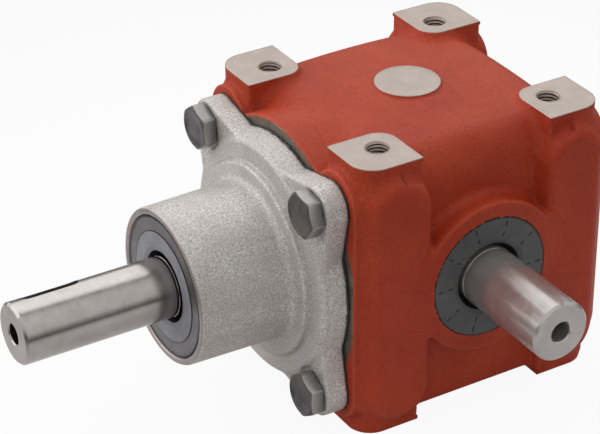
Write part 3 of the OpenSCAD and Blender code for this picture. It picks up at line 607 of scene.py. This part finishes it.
def casting(x, y, z):
    """Distance to the housing: a box under a dome, joined by fillets with four columns, the
    front plate, two bearing bosses, the swellings and two plug bosses. The discs come on top,
    and what lies beyond the side faces and in the bores is cut off."""
    ax, ay, az = np.abs(x), np.abs(y), np.abs(z)
    dome = z - DOME_TOP + (x**2 + y**2) / DOME_WIDTH
    body = round_and(np.maximum(ax, ay) - WALL_FACE, dome, SHOULDER_R)
    body = round_and(body, -BELLY - z, 1.5)
    solid = fillet_or(body, column_plan(ax, ay), 4.0)
    plate = np.minimum(np.maximum(np.hypot(x, z) - FRONT_R, ax - FRONT_HALF),
                       np.hypot(ax - BOLT_AT, np.maximum(az - BOLT_AT, 0)) - LOBE_R)
    plate = np.maximum(round_and(plate, -y - FRONT_FACE, 0.5), y + 44)
    solid = fillet_or(solid, plate, 2.0)
    boss = np.maximum(round_and(np.hypot(y, z) - BOSS_R, ax - SIDE_FACE, 1.4), 40 - ax)
    solid = fillet_or(solid, boss, 3.5)
    solid = fillet_or(solid, swelling(ax, ay, az), 2.4)
    solid = fillet_or(solid, swelling(y, ax, az), 2.4)
    solid = np.maximum(solid, np.maximum(ax, y) - SIDE_FACE)
    plugs = np.minimum(np.hypot(x, z - PLUG_UPPER), np.hypot(x, z + PLUG_LOWER))
    plug_boss = np.maximum(round_and(plugs - 13.2, y - PLUG_FACE, 0.5), 44 - y)
    solid = fillet_or(solid, plug_boss, 2.4)
    disc = np.maximum(np.hypot(x, y) - DISC_R, 40 - az)
    solid = np.maximum(fillet_or(solid, disc, 0.9), az - DISC_FACE)
    # Bearing bores, then the holes of the pads, of the flange's bolts and of the plugs
    solid = cut(solid, np.maximum(np.hypot(y, z) - BORE_R, 47 - ax))
    solid = cut(solid, np.maximum(np.hypot(ax - HOLE_AT, ay - HOLE_AT) - 5.4, 44 - az))
    solid = cut(solid, np.maximum(np.hypot(ax - BOLT_AT, az - BOLT_AT) - 5.2, y + 46))
    return cut(solid, np.maximum(plugs - 8.5, 46 - y))


step = 1.05
points, quads = skin(casting, (-63, -62, -61.3), (63, 63, 61.3), step)
milled_front = ((points[quads, 1] < 0.03 - FRONT_FACE)
                & (np.hypot(points[quads, 0], points[quads, 2]) < FRONT_R + 0.2)).all(1)
housing = make_piece("housing_casting", points, quads, "case",
                     [PRIMER, DARK_MILLED], which=milled_front,
                     marks={"edge": edge_mark(casting, points)})
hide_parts("housing")

# %% [markdown]
# ## Milled pads with tapped holes
# A milled pad has a crisp outline that a rounded casting can't give, so each pad gets a face
# of its own: a grid that runs from the bottom of the tapped hole up through its thread, over
# the face and down a short skirt that lies just outside the casting. Round the hole the grid
# is a circle, at the rim it is the pad's own outline, found along each ray.

# %% Pad faces
PITCH, THREAD_R, THREAD_DEPTH = 1.5, 4.55, 0.42


def outline_reach(angle, distance, centre, most=40.0):
    """Length of the rays from centre to the outline where distance is zero, by halving."""
    low, high = np.zeros_like(angle), np.full_like(angle, most)
    for _ in range(40):
        middle = (low + high) / 2
        inside = distance(centre[0] + middle * np.cos(angle),
                          centre[1] + middle * np.sin(angle)) < 0
        low, high = np.where(inside, middle, low), np.where(inside, high, middle)
    return low


def pad_face(side_x, side_y, up):
    """Grid of one pad; up is 1 for the upper pads and -1 for the lower ones. In the hole the
    radius follows the thread: it falls and rises once in each PITCH, shifted by the angle."""
    corner = [math.atan2(PAD_CENTRE + PAD_HALF * b - HOLE_AT, PAD_CENTRE + PAD_HALF * a - HOLE_AT)
              for a, b in ((1, -1), (-1, 1))]
    angle = np.unique(np.concatenate([np.linspace(-np.pi, np.pi, 96, endpoint=False), corner]))
    rim = outline_reach(angle, lambda x, y: column_plan(x, y, 0.05), (HOLE_AT, HOLE_AT))
    turn = np.arange(0, 10.01, 0.125)
    depth = turn * PITCH
    wave = np.abs(((turn[:, None] + angle[None] / (2 * np.pi)) % 1) * 2 - 1)
    thread = np.where(depth[:, None] < 0.5, 4.75, THREAD_R - THREAD_DEPTH * wave)[::-1]
    rows = [(thread, -depth[::-1, None] - 0.3)]
    rows.append((np.full((1, len(angle)), 4.75), np.array([[-0.3]])))
    rows.append((np.full((1, len(angle)), 5.1), np.array([[0.0]])))
    share = np.array([0.12, 0.3, 0.5, 0.7, 0.9])[:, None]
    rows.append((5.1 + share * (rim - 0.22 - 5.1), np.zeros((5, 1))))
    rows.append((np.stack([rim - 0.22, rim - 0.05, rim + 0.03, rim + 0.03]),
                 np.array([[0.0], [-0.07], [-0.3], [-1.6]])))
    radius = np.concatenate([r for r, _ in rows])
    height = np.concatenate([h + 0 * r for r, h in rows])
    radius = np.concatenate([np.zeros((1, len(angle))), radius])
    height = np.concatenate([height[:1], height])
    grid = np.stack([side_x * (HOLE_AT + radius * np.cos(angle)),
                     side_y * (HOLE_AT + radius * np.sin(angle)),
                     up * (AXIS_HEIGHT + height)], -1)
    return grid if side_x * side_y * up < 0 else grid[:, ::-1]


pads = [pad_face(a, b, up) for a in (-1, 1) for b in (-1, 1) for up in (-1, 1)]
points, quads, _ = join_grids([(g, 0) for g in pads])
rows = pads[0].shape[0] - 1
row_of_face = np.tile(np.repeat(np.arange(rows), pads[0].shape[1]), len(pads))
pad_piece = make_piece("milled_pads", points, quads, "case", [MILLED, PRIMER],
                       which=(row_of_face >= rows - 1).astype(int),
                       marks={"edge": np.zeros(len(points))})
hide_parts("housing")

# %% [markdown]
# ## The milled discs on dome and belly
# Each disc is turned: a flat face, a hair of bevel and a skirt that goes into the casting. The
# lower one is the upper one turned half round the output axis, with a longer skirt.

# %% Discs
def disc_face(skirt):
    """Grid of a disc whose face lies at the pads' height and whose skirt ends at skirt."""
    return turned([(DISC_R + 0.12, skirt), (DISC_R + 0.12, 59.72), (DISC_R, DISC_FACE),
                   (DISC_R - 0.2, 60.0), (9, 60.0), (4, 60.0), (0.0, 60.0)], 128)


upper, lower = disc_face(57.6), disc_face(54.5) * [1, -1, -1]
points, quads, part = join_grids([(upper[:2], 1), (upper[1:], 0), (lower[:2], 1), (lower[1:], 0)])
disc_piece = make_piece("milled_discs", points, quads, "case", [MILLED, PRIMER],
                        which=part, marks={"edge": np.zeros(len(points))})
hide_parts("housing")

# %% [markdown]
# ## The flange
# The flange is a softer casting than the housing, with a tapered hub, a raised ring at its
# root, a round plate and four ears. The same skin of a formula serves it, on a finer grid.
# Distances run along the input shaft, out from the crossing of the axes.

# %% Formula of the flange
EAR_R, EAR_SLOPE = 10.5, math.radians(12)
HUB_R, HUB_TAPER, HUB_LENGTH = 32.9, 0.7, 39
RING_R, FLANGE_R, FLANGE_DRAFT = 40.4, 51.5, 2


def ear_plan(ax, az):
    """Distance to an ear: a round end about its bolt and two sloping flanks towards the hub."""
    s, c = math.sin(EAR_SLOPE), math.cos(EAR_SLOPE)
    dx, dz = ax - BOLT_AT, az - BOLT_AT
    flanks = np.maximum(c * dz - s * dx, c * dx - s * dz) - EAR_R
    chord = (dx + dz) / math.sqrt(2) - EAR_R * (c - s) / math.sqrt(2)
    return np.minimum(np.hypot(dx, dz) - EAR_R, np.maximum(flanks, chord))


def flange(x, y, z):
    """Distance to the flange: a tapering hub, a ring at its root, a drafted round plate and
    four ears, joined by fillets, less the spot faces, the seats in the hub and the holes."""
    w, r = -y, np.hypot(x, z)
    ax, az = np.abs(x), np.abs(z)
    taper = HUB_TAPER * (w - RING_FACE) / HUB_LENGTH
    hub = round_and(r - HUB_R + taper, w - NOSE_REACH, 1.2)
    ring = round_and(r - RING_R, w - RING_FACE, 1.1)
    draft = FLANGE_DRAFT * np.clip((w - MOUNT_FACE) / 7.2, 0, 1)
    plate = round_and(r - FLANGE_R + draft, w - PLATE_FACE, 2.6)
    ears = round_and(ear_plan(ax, az), w - EAR_FACE, 1.3)
    solid = fillet_or(hub, ring, 3.0)
    solid = fillet_or(solid, plate, 1.0)
    solid = fillet_or(solid, ears, 0.8)
    solid = np.maximum(solid, MOUNT_FACE - w)
    bolt = np.hypot(ax - BOLT_AT, az - BOLT_AT)
    solid = cut(solid, np.maximum(bolt - SPOT_R, EAR_FACE - w))
    solid = cut(solid, np.maximum(r - 29.4, 101 - w))
    return cut(solid, bolt - 5.6)


step = 0.75
points, quads = skin(flange, (-53, -114.5, -53), (53, -58.6, 53), step)
flange_piece = make_piece("flange_casting", points, quads, "case", [ALLOY],
                          marks={"edge": edge_mark(flange, points)})
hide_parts("input_flange")

# %% [markdown]
# ## Squeezed-out sealant
# The gasket was set in black sealant, some of which came out when the bolts were tightened. It
# is a thin wavy bead along the whole outline of the flange. Its line is found ray by ray from
# the shaft's axis. A small circle, flat where it lies on the iron, is carried along it, and
# four waves of different length make it thicker and thinner.

# %% Bead along the joint
SEALANT = moulded("sealant", (0.006, 0.006, 0.007), (0.016, 0.016, 0.018), 0.26, 2.0, 0.05)


def joint_outline(x, z):
    """Distance to the flange's plan: the round plate and the four ears."""
    return np.minimum(np.hypot(x, z) - FLANGE_R, ear_plan(np.abs(x), np.abs(z)))


angle = np.linspace(0, 2 * np.pi, 900, endpoint=False)
reach = outline_reach(angle, joint_outline, (0, 0), 80.0)
wave = sum(np.sin(angle * k + s) for k, s in ((23, 0.4), (57, 2.1), (101, 4.0), (171, 1.3))) / 4
thick = 0.42 + 0.26 * wave
turn = np.linspace(0, 2 * np.pi, 12, endpoint=False)[:, None]
out = reach - 0.25 + thick * np.cos(turn)
depth = np.clip(MOUNT_FACE - 0.2 + thick * np.sin(turn), FRONT_FACE + 0.02, None)
bead = np.stack([out * np.cos(angle), -depth, out * np.sin(angle)], -1)
bead = np.concatenate([bead, bead[:1]])
points, quads, _ = join_grids([(bead, 0)])
sealant = make_piece("sealant_bead", points, quads, "case", [SEALANT])

# %% [markdown]
# ## The turned nose
# The rim of the nose and the seat of its seal are turned after casting, so they are crisp
# and smoother than the hub. One profile is carried round the input axis.

# %% Nose rim
TURNED = steel("turned_alloy", (0.36, 0.32, 0.31), (0.46, 0.41, 0.40), 0.40, 0.4,
               stretch=(1.0, 0.1, 1.0))
nose = turned([(32.0, 112.3), (31.7, 112.9), (31.2, 113.06), (30.0, 113.06), (29.7, 112.95),
               (29.03, 112.2), (29.03, 101.0)], 200)
points, quads, _ = join_grids([(along_input(nose), 0)])
nose_piece = make_piece("turned_nose", points, quads, "case", [TURNED])
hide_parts("input_flange")

# %% [markdown]
# ## Hexagon bolts
# A bolt head is a hexagon whose corners are turned off by a flat cone, standing on a thin
# round washer face. As a grid, the radius of the hexagon is a function of the angle, and
# the height of its top is the lower of the flat top and the cone. The corners and the rim of
# the top are marked and painted lighter, a painted highlight on the dark coat.

# %% Bolt heads
def hexagon(angle, half, blunt):
    """Distance from the centre to a hexagon with flats at half and slightly blunt corners."""
    turn = (angle + np.pi / 6) % (np.pi / 3) - np.pi / 6
    return np.minimum(half / np.cos(turn), half / math.cos(np.pi / 6) - blunt)


def bolt_grid(af, height, shank_r, shank_l):
    """Grid of a bolt along local Z whose head, af across its flats, stands on zero. Its top
    falls by a flat cone from round_r out to the corners."""
    angle = np.linspace(0, 2 * np.pi, 96, endpoint=False)
    hexa = hexagon(angle, af / 2, 0.25)
    round_r = af * 0.475
    cone = lambda r: height - np.maximum(r - round_r, 0) * math.tan(math.radians(28))
    rows = [(0 * angle, -shank_l), (0 * angle + shank_r - 1, -shank_l),
            (0 * angle + shank_r, 1 - shank_l), (0 * angle + shank_r, 0.0),
            (0 * angle + round_r - 0.1, 0.0), (0 * angle + round_r, 0.1),
            (0 * angle + round_r, 0.45), (hexa - 0.12, 0.5), (hexa, 0.62)]
    rows += [(hexa, cone(hexa) - 0.12), (hexa - 0.10, cone(hexa - 0.1) - 0.02)]
    for share in (0.8, 0.6, 0.4, 0.2):
        r = round_r + (hexa - round_r) * share
        rows.append((r, cone(r)))
    rows += [(0 * angle + round_r, height - 0.03), (0 * angle + round_r - 0.35, height),
             (0 * angle + round_r * 0.93, height - 0.05),
             (0 * angle + round_r * 0.9, height - 0.25),
             (0 * angle + round_r * 0.5, height - 0.27), (0 * angle, height - 0.27)]
    radius = np.stack([r for r, _ in rows])
    level = np.stack([h + 0 * angle for _, h in rows])
    return np.stack([radius * np.cos(angle), radius * np.sin(angle), level], -1)


def turned_by(grid, degrees):
    """The grid turned about its own local Z axis."""
    c, s = math.cos(math.radians(degrees)), math.sin(math.radians(degrees))
    x, y, z = np.moveaxis(grid, -1, 0)
    return np.stack([c * x - s * y, s * x + c * y, z], -1)


heads = []
for (sx, sz), degrees in zip(((-1, 1), (1, 1), (-1, -1), (1, -1)), (8, 21, 40, 3)):
    grid = turned_by(bolt_grid(af=17.0, height=6.4, shank_r=5.0, shank_l=20.0), degrees)
    heads.append((along_input(grid + [sx * BOLT_AT, sz * BOLT_AT, EAR_FACE]), 0))
points, quads, _ = join_grids(heads)
angle = np.linspace(0, 2 * np.pi, 96, endpoint=False)
# Painted highlight: the lower rim of the hexagon, strongest at its corners, and the whole upper
# rim where the chamfer starts.
corner = np.clip((hexagon(angle, 1.0, 0.0) - 1.11) / 0.045, 0, 1)
painted_highlight = np.zeros(heads[0][0].shape[:2])
painted_highlight[7:9], painted_highlight[9:11] = np.maximum(corner, 0.3), 1.0
bolts = make_piece("hexagon_bolts", points, quads, "case", [PHOSPHATE],
                   marks={"edge": np.tile(painted_highlight.ravel(), len(heads))})
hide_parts("flange_bolts")

# %% [markdown]
# ## Finishes for the pieces that keep their solids
# The shafts, seals, bearings, gears, plugs and rings keep their own solids, whose shapes are
# already right. Each one gets the finish of its stuff in every material slot.

# %% Dress the solids
def dress(node, finish):
    """Gives every slot of a solid's mesh the same finish."""
    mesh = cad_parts[node].data
    for index in range(max(1, len(mesh.materials))):
        if index < len(mesh.materials):
            mesh.materials[index] = finish
        else:
            mesh.materials.append(finish)


plain = {
    "input_shaft": GROUND_IN, "output_shaft": GROUND_OUT, "flange_gasket": GASKET,
    "input_gear": GEAR, "output_gear": GEAR, "input_gear_key": GEAR, "output_gear_key": GEAR,
    "input_gear_shim": BRIGHT, "output_gear_shim": BRIGHT, "input_gear_circlip": PHOSPHATE,
    "nose_circlip": PHOSPHATE, "output_circlip": PHOSPHATE, "blind_circlip": PHOSPHATE,
    "input_seal": NOSE_RUBBER, "input_seal_case": PRESSED, "input_seal_spring": BRIGHT,
    "output_seal": RUBBER, "output_seal_case": PRESSED, "output_seal_spring": BRIGHT,
    "closing_cap": PRESSED, "fill_plug": PLATED, "drain_plug": PLATED,
    "fill_plug_washer": COPPER, "drain_plug_washer": COPPER,
}
for place in ("nose", "throat", "output", "blind"):
    for ending in ("outer_ring", "inner_ring", "balls"):
        plain[f"{place}_bearing_{ending}"] = BRIGHT
    plain[f"{place}_bearing_cage"] = CAGE
for node, finish in plain.items():
    dress(node, finish)
print("dressed", len(plain), "solids")

# %% [markdown]
# ## The floor
# The gearbox stands on a sheet of white paper. To the camera the paper is white as far as it
# reaches, with a faint shadow, and metal and glass show some of that white too. As a source
# of light the paper fades with the distance, as when only the middle of the table is lit, so
# that the shafts mirror a dark line where the table ends.

# %% Floor
def pale(nodes, shine):
    """Share of the plain background: all of it to camera and transmission rays, shine of it
    to glossy rays and none to the rays that carry light."""
    camera_ray = nodes.node("LightPath", {}, {}, "Is Camera Ray")
    glass_ray = nodes.node("LightPath", {}, {}, "Is Transmission Ray")
    glossy_ray = nodes.node("LightPath", {}, {}, "Is Glossy Ray")
    return camera_ray.most(glass_ray).most(glossy_ray * shine)


def floor_paper():
    """Paper whose tone falls off with the distance from the middle, a painted pool of light,
    mixed with plain white for the rays that only look at it."""
    material = bpy.data.materials.new("floor_paper")
    material.use_nodes = True
    nodes = Nodes(material.node_tree)
    place = nodes.node("TexCoord", {}, {}, "Object")
    away = nodes.node("VectorMath", {"operation": "LENGTH"}, {0: place}, "Value")
    tone = nodes.blend(away.span(0.18, 0.45), (0.70, 0.68, 0.69), (0.09, 0.09, 0.09))
    dull = nodes.node("BsdfDiffuse", {}, {"Color": tone})
    white = nodes.node("Emission", {}, {"Color": (1, 1, 1, 1), "Strength": 1.0})
    mixed = nodes.node("MixShader", {}, {0: pale(nodes, 0.08) * 0.93, 1: dull, 2: white})
    nodes.node("OutputMaterial", {}, {0: mixed}, None)
    return material


mesh = bpy.data.meshes.new("floor")
mesh.from_pydata([(-4, -4, 0), (4, -4, 0), (4, 4, 0), (-4, 4, 0)], [], [(0, 1, 2, 3)])
mesh.materials.append(floor_paper())
floor = bpy.data.objects.new("floor", mesh)
bpy.context.scene.collection.objects.link(floor)
print("floor", mesh.materials[0].name)

# %% [markdown]
# ## The air
# What lies all round the gearbox is a soft sky: bright overhead, dark near the horizon, with
# one narrow dark slit between the places of the two lamps that metal mirrors. It is a function
# of the direction alone: its height, and its distance from a tilted plane.

# %% Air
def studio_air():
    """Sky whose level rises with the height of the direction, less the slit, mixed with plain
    white for the rays that only look at it."""
    world = bpy.data.worlds.new("studio")
    world.use_nodes = True
    nodes = Nodes(world.node_tree)
    way = nodes.node("TexCoord", {}, {}, "Generated")
    height, side = [nodes.node("VectorMath", {"operation": "DOT_PRODUCT"},
                               {0: way, 1: axis}, "Value")
                    for axis in ((0, 0, 1), (0.42, -0.756, 0.30))]
    slit = side.size().span(0.03, 0.09, 0.25, 1.0)
    level = (height.span(-0.05, 0.30, 0.08, 0.78) + height.span(0.5, 1.0, 0.0, 0.12)) * slit
    sky = nodes.node("Background", {}, {"Color": (1, 1, 1, 1), "Strength": level})
    white = nodes.node("Background", {}, {"Color": (1, 1, 1, 1), "Strength": 1.0})
    mixed = nodes.node("MixShader", {}, {0: pale(nodes, 0.06), 1: sky, 2: white})
    nodes.node("OutputWorld", {}, {0: mixed}, None)
    return world


bpy.context.scene.world = studio_air()
print("air", bpy.context.scene.world.name)

# %% [markdown]
# ## Three soft boxes
# A broad box behind and above draws the bright line along both shafts and the sheen on the
# tops. A second one, lower and to the front left, lights the flange and leaves the output
# side in half shade. A third one fills the faces that look to the front, without a mirror image.

# %% Lamps
def soft_box(name, way, distance, size, glow, mirrored=True):
    """Square lamp that lies distance metres away in the direction way and faces the
    gearbox; glow is how bright its face looks, where 1 is white. A lamp that isn't mirrored
    lights dull surfaces only."""
    data = bpy.data.lights.new(name, "AREA")
    data.shape, data.size, data.energy = "SQUARE", size, glow * math.pi * size**2
    made = bpy.data.objects.new(name, data)
    back = np.array(way, float) / np.linalg.norm(way)
    right = np.cross([0, 0, 1.0], back)
    right /= np.linalg.norm(right)
    place = back * distance + [0, 0, AXIS_HEIGHT * MM]
    made.matrix_world = Matrix([[*row, p] for row, p in zip(
        np.stack([right, np.cross(back, right), back], -1), place)] + [[0, 0, 0, 1]])
    made.visible_glossy = mirrored
    bpy.context.scene.collection.objects.link(made)
    print(name, "at", place.round(2), round(data.energy, 1), "W")


soft_box("box_behind", (-0.53, 0.35, 0.74), 1.0, 1.1, 0.75)
soft_box("box_front", (-0.70, -0.66, 0.36), 1.0, 1.2, 1.0)
soft_box("fill_front", (-0.45, -0.90, 0.12), 1.2, 0.9, 1.25, mirrored=False)

# %% [markdown]
# ## The camera
# The camera stands where it was found to stand for this view: 59 degrees round and 30
# degrees up, with a long lens and a hair of roll.

# %% Camera
AZIMUTH, ELEVATION, ROLL = (math.radians(v) for v in (59.157, 30.511, -0.4244))
LENS = 137.04
CAMERA_AT = (675.27, -453.57, 475.84 + AXIS_HEIGHT)

camera = bpy.data.objects.new("camera", bpy.data.cameras.new("camera"))
camera.data.lens = LENS
camera.data.sensor_width = 36
camera.data.clip_start, camera.data.clip_end = 0.05, 20
back = np.array([math.sin(AZIMUTH) * math.cos(ELEVATION),
                 -math.cos(AZIMUTH) * math.cos(ELEVATION), math.sin(ELEVATION)])
level = np.array([math.cos(AZIMUTH), math.sin(AZIMUTH), 0])
rise = np.cross(back, level)
right = level * math.cos(ROLL) + rise * math.sin(ROLL)
up = rise * math.cos(ROLL) - level * math.sin(ROLL)
camera.matrix_world = Matrix(
    [[*row, p * MM] for row, p in zip(np.stack([right, up, back], -1), CAMERA_AT)]
    + [[0, 0, 0, 1]])
bpy.context.scene.collection.objects.link(camera)
bpy.context.scene.camera = camera
bpy.context.scene.view_settings.view_transform = "Standard"
print("camera right", right, "up", up)

# %% [markdown]
# ## The end
